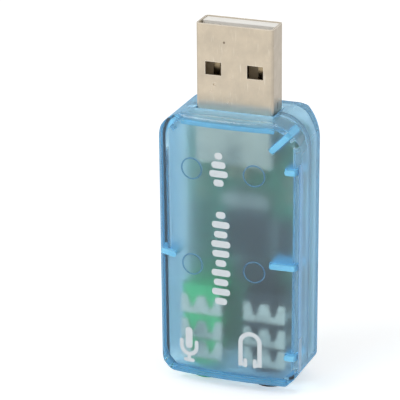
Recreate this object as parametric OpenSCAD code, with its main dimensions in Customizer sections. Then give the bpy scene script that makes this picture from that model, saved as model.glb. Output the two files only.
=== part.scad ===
// Translucent USB sound card: a two-part clear housing, a plug of type A at
// the top and two 3.5 mm sockets at the bottom.
// Millimetres. Z up, X across the width, Y from the front face to the rear.
// The origin lies at the foot of the socket noses, in the parting plane.

/* [Housing] */
// Width of the housing
body_w = 22.4; // [22:0.1:26]
// Depth of the housing from front face to rear face
body_t = 12; // [11.6:0.1:14]
// Length of the housing without plug and socket noses
body_l = 41.9; // [41:0.1:48]
// Wall thickness
wall = 1.2; // [1:0.1:1.4]
// Radius of the two shoulders beside the plug
shoulder_r = 4.8; // [4:0.1:6]
// Size of the chamfers at the socket end
end_chamfer = 2; // [1.6:0.1:4]
// Radius of the corners at both ends of these chamfers
end_corner_r = 1.8; // [1:0.1:2]
// Narrowing of each side at the socket end
side_taper = 0.3; // [0:0.05:0.5]
// Radius of the long front edges
front_edge_r = 3.9; // [3.6:0.1:4.2]
// Width of the rounded front edges, seen from the front
front_edge_w = 3.4; // [3:0.1:3.6]
// Radius of the gentle bulge across the front face
crown_r = 60; // [50:1:120]
// Width of the long rear chamfers, seen from the rear
rear_chamfer_w = 2.6; // [2:0.1:3]
// Depth of the long rear chamfers
rear_chamfer_t = 1.9; // [1.5:0.1:2.2]
// Radius between the end faces and the broad faces
end_edge_r = 1; // [0.6:0.1:1.1]
// Height of the lip that locates the two halves
lip_h = 0.7; // [0.5:0.1:0.9]
// Play round the lip
lip_gap = 0.05; // [0.03:0.01:0.1]

/* [Ribs] */
// Thickness of the inner ribs
rib_t = 1; // [0.8:0.1:1.2]
// Reach of the long rib on the right, from the side wall
long_rib = 3.6; // [2.5:0.1:3.8]
// Reach of the two short ribs on the right
short_rib = 1.3; // [1:0.1:1.6]
// Length of the diagonal rib in the right shoulder
corner_rib = 4; // [3:0.1:4.2]
// Reach of the two stubs on the left
stub_rib = 0.9; // [0.6:0.1:1.6]
// Height of the upper rib above the socket end face
upper_rib_z = 34.4; // [33:0.1:35.5]
// Height of the middle ribs above the socket end face
middle_rib_z = 19.4; // [18.5:0.1:21]
// Height of the lower rib above the socket end face
lower_rib_z = 4.9; // [4.5:0.1:6.5]
// Diameter of the ejector pads on the front wall
pad_d = 3.3; // [2.4:0.1:3.4]
// Height of the ejector pads
pad_h = 0.15; // [0.1:0.05:0.3]
// Distance between the two columns of pads
pad_pitch = 9.8; // [9:0.1:10.4]
// Sideways shift of the pads from the middle
pad_shift = -0.8; // [-1:0.1:1]
// Height of the upper pads above the socket end face
upper_pad_z = 33.3; // [33:0.1:35]
// Height of the lower pads above the socket end face
lower_pad_z = 18.1; // [18:0.1:20]

/* [Plug] */
// Width of the plug
plug_w = 12; // [11.9:0.05:12.1]
// Thickness of the plug
plug_t = 4.5; // [4.4:0.05:4.6]
// Length of plug that stands out of the housing
plug_out = 13; // [12:0.1:14]
// Length of plug inside the housing
plug_in = 8.2; // [7.6:0.1:9]
// Sheet thickness of the plug
sheet = 0.3; // [0.25:0.01:0.35]
// Outer bend radius of the plug sheet
plug_corner_r = 0.6; // [0.5:0.05:0.8]
// Width of a plug window
window_w = 2.5; // [2.3:0.1:2.7]
// Length of a plug window
window_l = 2; // [1.8:0.1:2.4]
// Distance from the tip to the windows
window_drop = 5.7; // [5.2:0.1:6]
// Distance between the centres of the two windows
window_pitch = 6.5; // [6.2:0.1:6.8]
// Play between the plug and the housing
plug_play = 0.15; // [0.1:0.05:0.25]
// Distance from the tip to the tongue
tongue_drop = 0.5; // [0.3:0.1:1]
// Width of a contact strip
contact_w = 1; // [0.9:0.05:1.1]
// Thickness of a contact strip
contact_t = 0.25; // [0.2:0.01:0.3]

/* [Board] */
// Gap between the board and each side wall
board_side_gap = 1; // [0.7:0.1:1.3]
// Thickness of the board
board_t = 1.2; // [1:0.1:1.4]
// Distance from the parting plane to the front of the board
board_y = 2.5; // [2.4:0.05:2.6]
// Length by which board and plug overlap
board_overlap = 5; // [4.4:0.1:5.6]
// Clearance between the board and the socket end wall
board_foot_gap = 0.4; // [0.4:0.1:1.2]
// Chamfer of the two board corners at the socket end
board_chamfer = 1.7; // [1.6:0.1:2]
// Diameter of the board posts
post_d = 2.4; // [2:0.1:2.8]

/* [Chip] */
// Side of the chip case
chip_w = 7; // [6.6:0.1:7.2]
// Thickness of the chip case
chip_t = 1.4; // [1.2:0.1:1.6]
// Reach of the chip leads beyond the case
lead_reach = 1; // [0.8:0.1:1.2]
// Pitch of the chip leads
lead_pitch = 0.5; // [0.5:0.05:0.55]
// Leads along each side of the chip
leads_per_side = 12; // [8:1:12]
// Sideways place of the chip
chip_x = 1; // [0.5:0.1:2]
// Height of the chip centre above the socket end face
chip_z = 21.6; // [21:0.1:24.5]

/* [Sockets] */
// Gap between each socket body and the side wall
jack_side_gap = 2; // [1.8:0.1:2.2]
// Bore of a socket
bore_d = 3.6; // [3.55:0.01:3.65]
// Outer diameter of a socket nose
nose_d = 5.2; // [5:0.1:5.6]
// Length of nose that stands out of the housing
nose_out = 1.4; // [0.7:0.1:1.6]
// Width of a socket body
jack_w = 6; // [5.8:0.1:6.2]
// Length of a socket body
jack_l = 12.5; // [12.4:0.1:13.4]
// Gap between a socket body and the end wall
jack_gap = 0.3; // [0.2:0.1:0.5]
// Chamfer at the foot of a socket body
jack_chamfer = 0.9; // [0.9:0.1:1.2]
// Depth of the bore from the mouth
bore_l = 14; // [13:0.1:14.4]
// Chamfer at the mouth of the bore
mouth_chamfer = 0.25; // [0.1:0.05:0.4]
// Play round the nose in the housing
nose_play = 0.1; // [0.05:0.05:0.2]
// Sheet thickness of the contact clips
clip_t = 0.25; // [0.2:0.01:0.3]
// Distance from the foot of a socket body to its first clip
clip_offset = 1.1; // [1.1:0.1:2]
// Distance from the first clip to the second
lower_clip_pitch = 3.3; // [3.2:0.1:3.6]
// Distance from the second clip to the third
upper_clip_pitch = 4; // [3.6:0.1:4.2]
// Width of the opening under a clip
clip_window = 1.2; // [1:0.1:1.4]
// Size of the notches where the nose openings meet the parting line
nose_notch = 0.8; // [0.4:0.1:1]

/* [Hidden] */
$fn = 48;
// Overshoot of a cut past the face it opens
cut = 1;
// Gap between pieces that are pressed together
fit_gap = 0.02;
// Where the rounding circles start, away from the ends of their arcs
circle_start = 37;
// Depth of the flat sides inside their rounding circles, so that they cross
crossing = 0.005;
front_spare = 0.1;

body_z0 = nose_out;
body_z1 = nose_out + body_l;
tip_z = body_z1 + plug_out;
plug_foot_z = body_z1 - plug_in;
board_z0 = body_z0 + wall + board_foot_gap;
board_z1 = plug_foot_z + board_overlap;
nose_l = nose_out + wall + jack_gap;
jack_t = 2 * board_y;
jack_top_z = nose_l + jack_l;
jack_x = body_w / 2 - wall - jack_side_gap - jack_w / 2;
board_w = body_w - 2 * wall - 2 * board_side_gap;
inner_w = body_w / 2 - wall;
inner_front_y = -body_t / 2 + wall;
inner_rear_y = body_t / 2 - wall;
rib_gap = 0.3;
rib_rear_y = -(lip_h + rib_gap);
post_inset = 1.6;
post_rise = 1.4;
post_drop = 2;
post_zs = [jack_top_z + post_rise, plug_foot_z - post_drop];

// Plug details and its contacts, from left to right seen from the front
contact_pitch_inner = 2;
contact_pitch_outer = 7;
contact_xs = [-contact_pitch_outer / 2, -contact_pitch_inner / 2,
    contact_pitch_inner / 2, contact_pitch_outer / 2];
inner_contact_drop = 2.4;
outer_contact_drop = 1.4;
tongue_front = 0.1;
insulator_z0 = plug_foot_z + 0.2;
insulator_z1 = body_z1 + 1;
seam_gap = 0.08;
dimple_x = -3.1;
dimple_drop = 9.1;
dimple_d = 0.5;

// Pins that go through the board
pin_w = 0.6;
pin_hole_d = 1;
pin_out = 0.5;
outer_pin_z = plug_foot_z - 1.2;
inner_pin_z = outer_pin_z - 1.4;
leg_w = 1.6;
leg_z = plug_foot_z + 2.4;
leg_play = 0.25;

// Components on the board
board_corner_r = 1;
lead_w = 0.22;
lead_t = 0.15;
standoff = 0.1;
crystal_l = 7.4;
crystal_w = 2;
crystal_h = 2;
crystal_flange = 0.15;
crystal_x = 0.8;
crystal_gap = 0.1;
crystal_z = body_z0 + chip_z + chip_w / 2 + lead_reach + crystal_gap + crystal_w / 2 + crystal_flange;
moulded_l = 3.2;
moulded_w = 2.5;
moulded_h = 1.9;
moulded_xs = [0.6, 4.1];
component_gap = 0.4;
moulded_z = jack_top_z + component_gap + moulded_w / 2;
upright_l = 5.4;
upright_w = 2;
upright_x = chip_x + chip_w / 2 + lead_reach + component_gap + upright_w / 2;
small_l = 1.6;
small_w = 0.8;
small_h = 0.5;
resistor_xs = [1.2 - board_w / 2, 3.2 - board_w / 2];
resistor_zs = [17.7, 20.1, 22.5, 24.9];
ceramic_w = 0.9;
ceramic_h = 0.8;
ceramic_places = [[2.6 - board_w / 2, 27.5], [2.6 - board_w / 2, 29.9],
    [board_w / 2 - 1.6, 17.1], [board_w / 2 - 1.6, 28.1], [board_w / 2 - 1.6, 30.7]];

// Clips of the sockets
clip_bar = 1;
prong_h = 2;
prong_w = 0.7;
prong_slope = 0.6;
crown_w = 1.2;
crown_h = 1.9;
spring_w = 0.8;
spring_t = 0.4;
spring_z = 0.7;
spring_clear = 0.1;
clip_leg_rise = 0.6;

// Convex outlines: corners are moved inwards or rounded along their bisectors
function side_a(p, i) = p[(i + len(p) - 1) % len(p)] - p[i];
function side_b(p, i) = p[(i + 1) % len(p)] - p[i];
function unit(v) = v / norm(v);
function half_angle(p, i) = acos(unit(side_a(p, i)) * unit(side_b(p, i))) / 2;
function bisector(p, i) = unit(unit(side_a(p, i)) + unit(side_b(p, i)));
function moved_in(p, i, d) = p[i] + bisector(p, i) * d / sin(half_angle(p, i));
function inset_points(p, d) = [for (i = [0 : len(p) - 1]) moved_in(p, i, d)];
function smaller(radii, d) = [for (r = radii) max(r - d, 0)];

module rounded_outline(p, radii) {
    flat = inset_points(p, crossing);
    polygon([for (i = [0 : len(p) - 1], s = [0, 1])
        let (t = max(radii[i] - crossing, 0) / tan(half_angle(p, i)))
        flat[i] + t * unit(s == 0 ? side_a(p, i) : side_b(p, i))]);
    for (i = [0 : len(p) - 1])
        if (radii[i] > 0)
            translate(moved_in(p, i, radii[i])) rotate(circle_start) circle(radii[i]);
}

// Housing seen from the front: shoulders above, chamfered corners below
function front_view_points() =
    let (hw = body_w / 2, hf = body_w / 2 - side_taper)
    [[-hf + end_chamfer, body_z0], [hf - end_chamfer, body_z0], [hf, body_z0 + end_chamfer],
     [hw, body_z1], [-hw, body_z1], [-hf, body_z0 + end_chamfer]];
front_view_radii = [end_corner_r, end_corner_r, end_corner_r, shoulder_r, shoulder_r, end_corner_r];

module front_view(inset) {
    rounded_outline(inset_points(front_view_points(), inset), smaller(front_view_radii, inset));
}

// Housing seen from an end: rounded front edges, chamfered rear edges. It is
// wider than the housing, because the front view cuts the sides, and a little
// deeper in front, where the bulge cuts it.
function end_view_points() =
    let (hw = body_w / 2 - front_edge_w + front_edge_r + front_spare,
         slope = rear_chamfer_t / rear_chamfer_w,
         y_side = body_t / 2 - rear_chamfer_t - (hw - body_w / 2) * slope)
    [[-hw, -body_t / 2 - front_spare], [hw, -body_t / 2 - front_spare], [hw, y_side],
     [body_w / 2 - rear_chamfer_w, body_t / 2], [-body_w / 2 + rear_chamfer_w, body_t / 2],
     [-hw, y_side]];
end_view_radii = [front_edge_r + front_spare, front_edge_r + front_spare, 0, 0, 0, 0];

module end_view(inset) {
    rounded_outline(inset_points(end_view_points(), inset), smaller(end_view_radii, inset));
}

// Housing seen from the side: small radii at the rear of both end faces
function side_view_points() =
    [[-body_t, body_z0], [body_t / 2, body_z0], [body_t / 2, body_z1], [-body_t, body_z1]];

module side_view(inset) {
    rounded_outline(inset_points(side_view_points(), inset),
        smaller([0, end_edge_r, end_edge_r, 0], inset));
}

// The front face bulges gently round an upright axis far behind it, and the
// small radii at its two ends follow the bulge
module bulge(inset) {
    translate([0, crown_r - body_t / 2, 0]) rotate_extrude($fn = 180)
        rounded_outline([[0, body_z0 + inset], [crown_r - inset, body_z0 + inset],
            [crown_r - inset, body_z1 - inset], [0, body_z1 - inset]],
            smaller([0, end_edge_r, end_edge_r, 0], inset));
}

module along_y(length, y = 0) {
    translate([0, y + length / 2, 0]) rotate([90, 0, 0])
        linear_extrude(length, center = true) children();
}

module along_x(length) {
    rotate([90, 0, 90]) linear_extrude(length, center = true) children();
}

module housing_solid(inset) {
    intersection() {
        along_y(body_t + 2, -body_t / 2 - 1) front_view(inset);
        linear_extrude(tip_z) end_view(inset);
        along_x(body_w + 2) side_view(inset);
        bulge(inset);
    }
}

module box(x0, x1, y0, y1, z0, z1) {
    translate([x0, y0, z0]) cube([x1 - x0, y1 - y0, z1 - z0]);
}

module both_sides() {
    children();
    mirror([1, 0, 0]) children();
}

// Openings that the two halves share
module plug_opening() {
    hw = plug_w / 2 + plug_play;
    ht = plug_t / 2 + plug_play;
    box(-hw, hw, -ht, ht, body_z1 - wall - cut, body_z1 + cut);
}

module nose_openings() {
    hole_r = nose_d / 2 + nose_play;
    for (x = [-jack_x, jack_x])
        translate([x, 0, body_z0 - cut]) {
            cylinder(h = wall + 2 * cut, r = hole_r);
            for (s = [-1, 1])
                translate([s * hole_r, 0, 0]) rotate([0, 0, 45])
                    linear_extrude(wall + 2 * cut) square(nose_notch, center = true);
        }
}

// A rib that stands on the side wall and the front wall
module side_rib(z, reach) {
    box(inner_w - reach, body_w / 2 - wall / 2, -body_t / 2, rib_rear_y, z - rib_t / 2, z + rib_t / 2);
}

// A diagonal rib that points from the middle of a shoulder's wall to the inside
module shoulder_rib(length) {
    reach = shoulder_r - wall / 2;
    translate([body_w / 2 - shoulder_r, 0, body_z1 - shoulder_r]) rotate([0, -45, 0])
        box(reach - length, reach, -body_t / 2, rib_rear_y, -rib_t / 2, rib_t / 2);
}

module front_ribs() {
    intersection() {
        linear_extrude(tip_z) end_view(wall / 2);
        bulge(wall / 2);
        union() {
            side_rib(body_z0 + upper_rib_z, short_rib);
            side_rib(body_z0 + middle_rib_z, long_rib);
            side_rib(body_z0 + lower_rib_z, short_rib);
            shoulder_rib(corner_rib);
            mirror([1, 0, 0]) {
                side_rib(body_z0 + middle_rib_z, stub_rib);
                shoulder_rib(wall / 2 + stub_rib);
            }
        }
    }
}

module front_shell() {
    color([0.55, 0.75, 0.9, 0.5]) {
        difference() {
            intersection() {
                housing_solid(0);
                box(-body_w, body_w, -body_t, 0, 0, tip_z);
            }
            housing_solid(wall);
            along_y(lip_h + lip_gap + cut, -lip_h - lip_gap) front_view(wall / 2);
            plug_opening();
            nose_openings();
        }
        front_ribs();
        for (x = [-pad_pitch / 2, pad_pitch / 2], z = [upper_pad_z, lower_pad_z])
            translate([0, crown_r - body_t / 2, body_z0 + z])
                rotate([0, 0, asin((x + pad_shift) / crown_r)])
                    translate([0, inner_front_y - wall / 2 - crown_r + body_t / 2, 0])
                        rotate([-90, 0, 0]) cylinder(h = wall / 2 + pad_h, d = pad_d);
    }
}

module rear_shell() {
    post_x = board_w / 2 - post_inset;
    color([0.5, 0.72, 0.9, 0.5]) difference() {
        union() {
            difference() {
                intersection() {
                    housing_solid(0);
                    box(-body_w, body_w, 0, body_t, 0, tip_z);
                }
                housing_solid(wall);
            }
            along_y(lip_h + wall, -lip_h) difference() {
                front_view(wall / 2 + lip_gap);
                front_view(wall);
            }
            for (x = [-post_x, post_x], z = post_zs)
                translate([x, board_y + board_t + fit_gap, z]) rotate([-90, 0, 0])
                    cylinder(h = inner_rear_y + wall / 2 - board_y - board_t - fit_gap, d = post_d);
        }
        plug_opening();
        nose_openings();
    }
}

// Outline of the plug's sheet, seen from the tip
module plug_section(inset) {
    rounded_outline(inset_points([[-plug_w / 2, -plug_t / 2], [plug_w / 2, -plug_t / 2],
        [plug_w / 2, plug_t / 2], [-plug_w / 2, plug_t / 2]], inset),
        smaller([for (i = [0 : 3]) plug_corner_r], inset));
}

module plug_shroud() {
    window_z = tip_z - window_drop - window_l;
    color([0.8, 0.77, 0.72]) {
        difference() {
            translate([0, 0, plug_foot_z]) linear_extrude(tip_z - plug_foot_z) difference() {
                plug_section(0);
                plug_section(sheet);
            }
            for (s = [-1, 1])
                translate([s * window_pitch / 2 - window_w / 2, -plug_t, window_z])
                    cube([window_w, 2 * plug_t, window_l]);
            // Seam of the folded sheet, along the rear face
            box(-seam_gap / 2, seam_gap / 2, 0, plug_t, plug_foot_z - cut, tip_z + cut);
            // Shallow punched dot in the front face
            translate([dimple_x, -plug_t / 2, tip_z - dimple_drop]) rotate([90, 0, 0])
                cylinder(h = sheet, d = dimple_d, center = true);
        }
        both_sides()
            box(plug_w / 2 - sheet, plug_w / 2, plug_t / 2 - plug_corner_r, board_y + board_t + pin_out,
                leg_z - leg_w / 2, leg_z + leg_w / 2);
    }
}

// A flat strip on the tongue with a pin that turns back through the board
module contact_strip(x, z_pin, tip_drop) {
    color([0.83, 0.68, 0.35]) translate([x, 0, 0]) {
        box(-contact_w / 2, contact_w / 2, -contact_t / 2, contact_t / 2, z_pin, tip_z - tip_drop);
        box(-pin_w / 2, pin_w / 2, -contact_t / 2, board_y + board_t + pin_out,
            z_pin, z_pin + contact_t);
    }
}

module power_contact() {
    contact_strip(contact_xs[0], outer_pin_z, outer_contact_drop);
}

module data_minus_contact() {
    contact_strip(contact_xs[1], inner_pin_z, inner_contact_drop);
}

module data_plus_contact() {
    contact_strip(contact_xs[2], inner_pin_z, inner_contact_drop);
}

module ground_contact() {
    contact_strip(contact_xs[3], outer_pin_z, outer_contact_drop);
}

// Insulator: a block in the foot of the plug and the tongue under the contacts
module plug_tongue() {
    slot = contact_w / 2 + fit_gap;
    color([0.93, 0.93, 0.9]) difference() {
        intersection() {
            translate([0, 0, insulator_z0]) linear_extrude(tip_z - tongue_drop - insulator_z0)
                plug_section(sheet + fit_gap);
            union() {
                box(-plug_w, plug_w, -tongue_front, plug_t, 0, tip_z);
                box(-plug_w, plug_w, -plug_t, plug_t, 0, insulator_z1);
            }
        }
        for (x = contact_xs)
            box(x - slot, x + slot, -contact_t / 2 - fit_gap, contact_t / 2 + fit_gap,
                0, tip_z - outer_contact_drop + fit_gap);
    }
}

// Places of the pins that go through the board: [x, z, width in x, width in z]
function contact_pins() = [for (i = [0 : 3])
    [contact_xs[i], (i % 3 == 0 ? outer_pin_z : inner_pin_z) + contact_t / 2, pin_w, contact_t]];
function leg_pins() = [for (s = [-1, 1]) [s * (plug_w - sheet) / 2, leg_z, sheet, leg_w]];
clip_zs = [nose_l + clip_offset, nose_l + clip_offset + lower_clip_pitch,
    nose_l + clip_offset + lower_clip_pitch + upper_clip_pitch];
clip_pin_x = jack_w / 2 + clip_t / 2;
function clip_pins() = [for (x = [-jack_x, jack_x], s = [-1, 1], z = clip_zs)
    [x + s * clip_pin_x, z + clip_leg_rise, clip_t, pin_w]];

module circuit_board() {
    color([0.1, 0.42, 0.28]) difference() {
        along_y(board_t, board_y) rounded_outline(
            [[-board_w / 2 + board_chamfer, board_z0], [board_w / 2 - board_chamfer, board_z0],
             [board_w / 2, board_z0 + board_chamfer], [board_w / 2, board_z1],
             [-board_w / 2, board_z1], [-board_w / 2, board_z0 + board_chamfer]],
            [0, 0, 0, board_corner_r, board_corner_r, 0]);
        for (p = concat(contact_pins(), clip_pins()))
            translate([p[0], board_y - cut, p[1]]) rotate([-90, 0, 0])
                cylinder(h = board_t + 2 * cut, d = pin_hole_d, $fn = 24);
        for (p = leg_pins())
            box(p[0] - p[2] / 2 - leg_play, p[0] + p[2] / 2 + leg_play,
                board_y - cut, board_y + board_t + cut,
                p[1] - p[3] / 2 - leg_play, p[1] + p[3] / 2 + leg_play);
    }
}

// Cones of solder round the pins, on the rear of the board
module solder_joints() {
    color([0.75, 0.76, 0.77]) for (p = concat(contact_pins(), clip_pins(), leg_pins())) difference() {
        reach = max(p[2], p[3]) / 2;
        translate([p[0], board_y + board_t, p[1]]) rotate([-90, 0, 0])
            cylinder(h = pin_out - 0.1, r1 = reach + 0.4, r2 = reach + 0.1, $fn = 24);
        box(p[0] - p[2] / 2 - fit_gap, p[0] + p[2] / 2 + fit_gap, board_y, board_y + 3 * board_t,
            p[1] - p[3] / 2 - fit_gap, p[1] + p[3] / 2 + fit_gap);
    }
}

// Chip case with a round mark at its first lead
module audio_chip() {
    color([0.12, 0.12, 0.13]) translate([chip_x, board_y - standoff - chip_t, body_z0 + chip_z])
        difference() {
            translate([-chip_w / 2, 0, -chip_w / 2]) cube([chip_w, chip_t, chip_w]);
            translate([-chip_w / 2 + 1, -cut + 0.1, chip_w / 2 - 1]) rotate([-90, 0, 0])
                cylinder(h = cut, d = 0.8, $fn = 24);
        }
}

// One bent lead that stands on the board
module lead() {
    t = lead_t;
    rise = standoff + chip_t / 2;
    bend = lead_reach / 2;
    translate([0, board_y, 0]) rotate([90, 0, 90]) linear_extrude(lead_w, center = true)
        polygon([[-rise, 0], [-rise, bend], [-t, bend], [-t, lead_reach], [0, lead_reach],
            [0, bend - t], [t - rise, bend - t], [t - rise, 0]]);
}

module chip_leads() {
    span = (leads_per_side - 1) * lead_pitch;
    color([0.78, 0.78, 0.8]) translate([chip_x, 0, body_z0 + chip_z])
        for (turn = [0 : 90 : 270]) rotate([0, turn, 0])
            for (i = [0 : leads_per_side - 1])
                translate([i * lead_pitch - span / 2, 0, chip_w / 2 + fit_gap]) lead();
}

// Metal can with rounded ends and a thin flange on the board
module clock_crystal() {
    color([0.8, 0.81, 0.82]) translate([crystal_x, board_y, crystal_z])
        for (part = [[crystal_w, crystal_h], [crystal_w + 2 * crystal_flange, crystal_flange]])
            rotate([90, 0, 0]) linear_extrude(part[1]) {
                square([crystal_l - crystal_w, part[0]], center = true);
                for (s = [-1, 1])
                    translate([s * (crystal_l - crystal_w) / 2, 0]) circle(d = part[0]);
            }
}

// A small rectangular component with metal end caps fused on
module chip_component(x, z, length, width, height) {
    cap = length * 0.2;
    translate([x, board_y - height, z]) {
        translate([-length / 2 + cap / 2, 0.03, -width / 2 + 0.03])
            cube([length - cap, height - 0.03, width - 0.06]);
        for (s = [-1, 1])
            translate([s * (length - cap) / 2 - cap / 2, 0, -width / 2]) cube([cap, height, width]);
    }
}

module moulded_capacitors() {
    color([0.16, 0.15, 0.14]) {
        for (x = moulded_xs) chip_component(x, moulded_z, moulded_l, moulded_w, moulded_h);
        translate([upright_x, 0, body_z0 + chip_z]) rotate([0, 90, 0])
            chip_component(0, 0, upright_l, upright_w, moulded_h);
    }
}

module chip_resistors() {
    color([0.2, 0.2, 0.22]) for (x = resistor_xs, z = resistor_zs)
        chip_component(x, body_z0 + z, small_l, small_w, small_h);
}

module chip_capacitors() {
    color([0.62, 0.5, 0.36]) for (p = ceramic_places)
        chip_component(p[0], body_z0 + p[1], small_l, ceramic_w, ceramic_h);
}

// Socket body with its round nose, the bore and the openings under the clips
module jack(x) {
    translate([x, 0, 0]) difference() {
        union() {
            cylinder(h = nose_l, d = nose_d);
            along_y(jack_t, -jack_t / 2)
                polygon([[jack_chamfer - jack_w / 2, nose_l], [jack_w / 2 - jack_chamfer, nose_l],
                    [jack_w / 2, nose_l + jack_chamfer], [jack_w / 2, jack_top_z],
                    [-jack_w / 2, jack_top_z], [-jack_w / 2, nose_l + jack_chamfer]]);
        }
        translate([0, 0, -cut]) cylinder(h = bore_l + cut, d = bore_d);
        translate([0, 0, -fit_gap])
            cylinder(h = mouth_chamfer, r1 = bore_d / 2 + mouth_chamfer, r2 = bore_d / 2);
        for (z = clip_zs)
            box(-clip_window / 2, clip_window / 2, -jack_t, -bore_d / 4,
                z + spring_z - clip_window / 2, z + spring_z + clip_window / 2);
    }
}

// Right half of a clip's front: a prong at the side and half of a crown
function clip_half() = let (hw = jack_w / 2, top = clip_bar / 2)
    [[hw + clip_t, -top], [hw + clip_t, top + prong_h], [hw - prong_w, top + prong_h],
     [hw - prong_w - prong_slope, top], [crown_w / 2 + prong_slope, top],
     [crown_w / 2, top + crown_h]];

// Metal clip over the front of a socket, with a spring and two legs
module clip(x, z) {
    hw = jack_w / 2;
    y0 = -jack_t / 2;
    half = clip_half();
    color([0.8, 0.8, 0.78]) translate([x, 0, z]) {
        along_y(clip_t, y0 - clip_t)
            polygon(concat(half, [for (i = [5 : -1 : 0]) [-half[i][0], half[i][1]]]));
        // Spring that dips through the opening, just clear of the bore
        box(-spring_w / 2, spring_w / 2, y0, -bore_d / 2 - spring_clear,
            spring_z - spring_t / 2, spring_z + spring_t / 2);
        both_sides() translate([hw, 0, clip_leg_rise]) {
            box(0, clip_t, y0 - clip_t, board_y - fit_gap, -clip_bar / 2, clip_bar / 2);
            box(0, clip_t, y0, board_y + board_t + pin_out, -pin_w / 2, pin_w / 2);
        }
    }
}

module microphone_jack() {
    color([0.1, 0.75, 0.3]) jack(-jack_x);
}

module headphone_jack() {
    color([0.12, 0.12, 0.12]) jack(jack_x);
}

module microphone_sleeve_contact() {
    clip(-jack_x, clip_zs[0]);
}

module microphone_ring_contact() {
    clip(-jack_x, clip_zs[1]);
}

module microphone_tip_contact() {
    clip(-jack_x, clip_zs[2]);
}

module headphone_sleeve_contact() {
    clip(jack_x, clip_zs[0]);
}

module headphone_ring_contact() {
    clip(jack_x, clip_zs[1]);
}

module headphone_tip_contact() {
    clip(jack_x, clip_zs[2]);
}

front_shell();
rear_shell();
plug_shroud();
plug_tongue();
power_contact();
data_minus_contact();
data_plus_contact();
ground_contact();
circuit_board();
audio_chip();
chip_leads();
clock_crystal();
moulded_capacitors();
chip_resistors();
chip_capacitors();
solder_joints();
microphone_jack();
microphone_sleeve_contact();
microphone_ring_contact();
microphone_tip_contact();
headphone_jack();
headphone_sleeve_contact();
headphone_ring_contact();
headphone_tip_contact();
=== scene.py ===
"""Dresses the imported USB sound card: a see-through blue housing over a green board,
two sockets and a nickel plug, with its white marks, on a plain studio floor."""

import math

import bpy
from mathutils import Matrix, Vector


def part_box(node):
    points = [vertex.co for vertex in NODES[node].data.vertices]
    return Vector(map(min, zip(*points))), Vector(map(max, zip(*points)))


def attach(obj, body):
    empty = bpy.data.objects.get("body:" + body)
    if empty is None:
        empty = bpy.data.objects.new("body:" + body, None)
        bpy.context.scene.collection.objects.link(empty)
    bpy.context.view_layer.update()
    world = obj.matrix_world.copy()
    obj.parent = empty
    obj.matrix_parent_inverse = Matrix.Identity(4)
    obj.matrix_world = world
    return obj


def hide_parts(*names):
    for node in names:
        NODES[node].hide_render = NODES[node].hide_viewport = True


bl_info = {
    "name": "USB Sound Card",
    "version": (1, 0, 0),
    "blender": (4, 5, 0),
    "location": "3D View > Sidebar > Sound Card",
    "description": "Finishes, printed marks and studio for the USB sound card",
    "category": "Object",
}

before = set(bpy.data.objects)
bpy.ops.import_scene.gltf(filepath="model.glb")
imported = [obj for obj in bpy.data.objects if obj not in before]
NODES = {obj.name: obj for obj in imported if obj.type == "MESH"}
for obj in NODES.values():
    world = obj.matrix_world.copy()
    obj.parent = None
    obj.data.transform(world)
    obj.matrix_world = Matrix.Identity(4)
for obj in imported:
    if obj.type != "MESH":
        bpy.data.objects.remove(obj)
bpy.ops.object.select_all(action="DESELECT")

MM = 0.001
WHITE = (1.0, 1.0, 1.0, 1.0)

# The housing: its bulge, and up to where its shoulders are smoothed
FRONT_BULGE_R = 60.0 * MM
SHOULDER_Z = 38.6 * MM
ROUNDED_UP_TO = 26.0

# The ribs on the right, as height and reach in millimetres, and the round pads' centres
RIB_THICKNESS = 0.86 * MM
INNER_WALL_X = 10.0 * MM
RIGHT_RIBS = ((35.8, 1.3), (20.8, 3.6), (6.3, 1.3))
LEFT_RIB_Z = 20.9 * MM
SHOULDER_PIVOT = (6.4 * MM, 0.0, 38.5 * MM)
SHOULDER_REACH = 4.2 * MM
PAD_CENTRES = ((-5.7, 34.7), (4.1, 34.7), (-5.7, 19.5), (4.1, 19.5))

# The strips in the end walls, painted light for the walls seen edge-on: name, half width,
# height of the middle, thickness and depth in millimetres, two tones, and how clear they are
WALL_STRIPS = (
    ("bottom_strip", 9.1, 2.04, 1.05, 1.3, ((0.13, 0.54, 0.80), (0.18, 0.62, 0.87)), 0.6),
    ("top_strip", 7.2, 41.95, 0.72, 0.45, ((0.20, 0.62, 0.88), (0.27, 0.70, 0.93)), 0.4))

# The plug: where its tones and its painted shade begin and end, by height, by distance from
# the middle, and the half width, half thickness and top of its hollow, which is painted dark as
# shade
SHADE_BAND_TOP = (44.8 * MM, 44.3 * MM)
BAND_FOOT = (42.0 * MM, 43.4 * MM)
SIDE_SHADE_EDGE = (5.6 * MM, 6.0 * MM)
HOLLOW_SHADE_BOUNDS = (5.77 * MM, 2.03 * MM, 54.7 * MM)

# Painted shade, as of a small dent near the mouth and a slit low on the side, as centre and half
# sizes
PAINTED_SHADE_SPOTS = (((-0.00155, -0.00225, 0.0537), (0.00018, 0.001, 0.0002)),
              ((0.0061, -0.0001, 0.0442), (0.0004, 0.0003, 0.0007)))

# The level bars: sideways middle, lowest bar, pitch and lengths of each group, in millimetres
BAR_GROUPS = ((-0.8, 14.5, 1.53, (1.9, 2.9, 2.3, 3.0, 1.7, 2.7, 3.0, 2.1, 2.8, 1.5)),
              (-1.1, 33.3, 1.4, (1.6, 2.9, 2.2, 1.2)))
MICROPHONE_X = -6.12
HEADPHONES_X = 3.74


# Settings a user would change

class SoundCardSizes(bpy.types.PropertyGroup):
    """Sizes of the pieces that are added to the frame"""

    print_thickness: bpy.props.FloatProperty(
        name="Print Thickness", description="Height of the white print over the housing",
        default=0.03 * MM, min=0.0, unit="LENGTH")
    bar_width: bpy.props.FloatProperty(
        name="Level Bar Width", description="Thickness of one bar of the level motif",
        default=1.05 * MM, min=0.0, unit="LENGTH")


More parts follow.
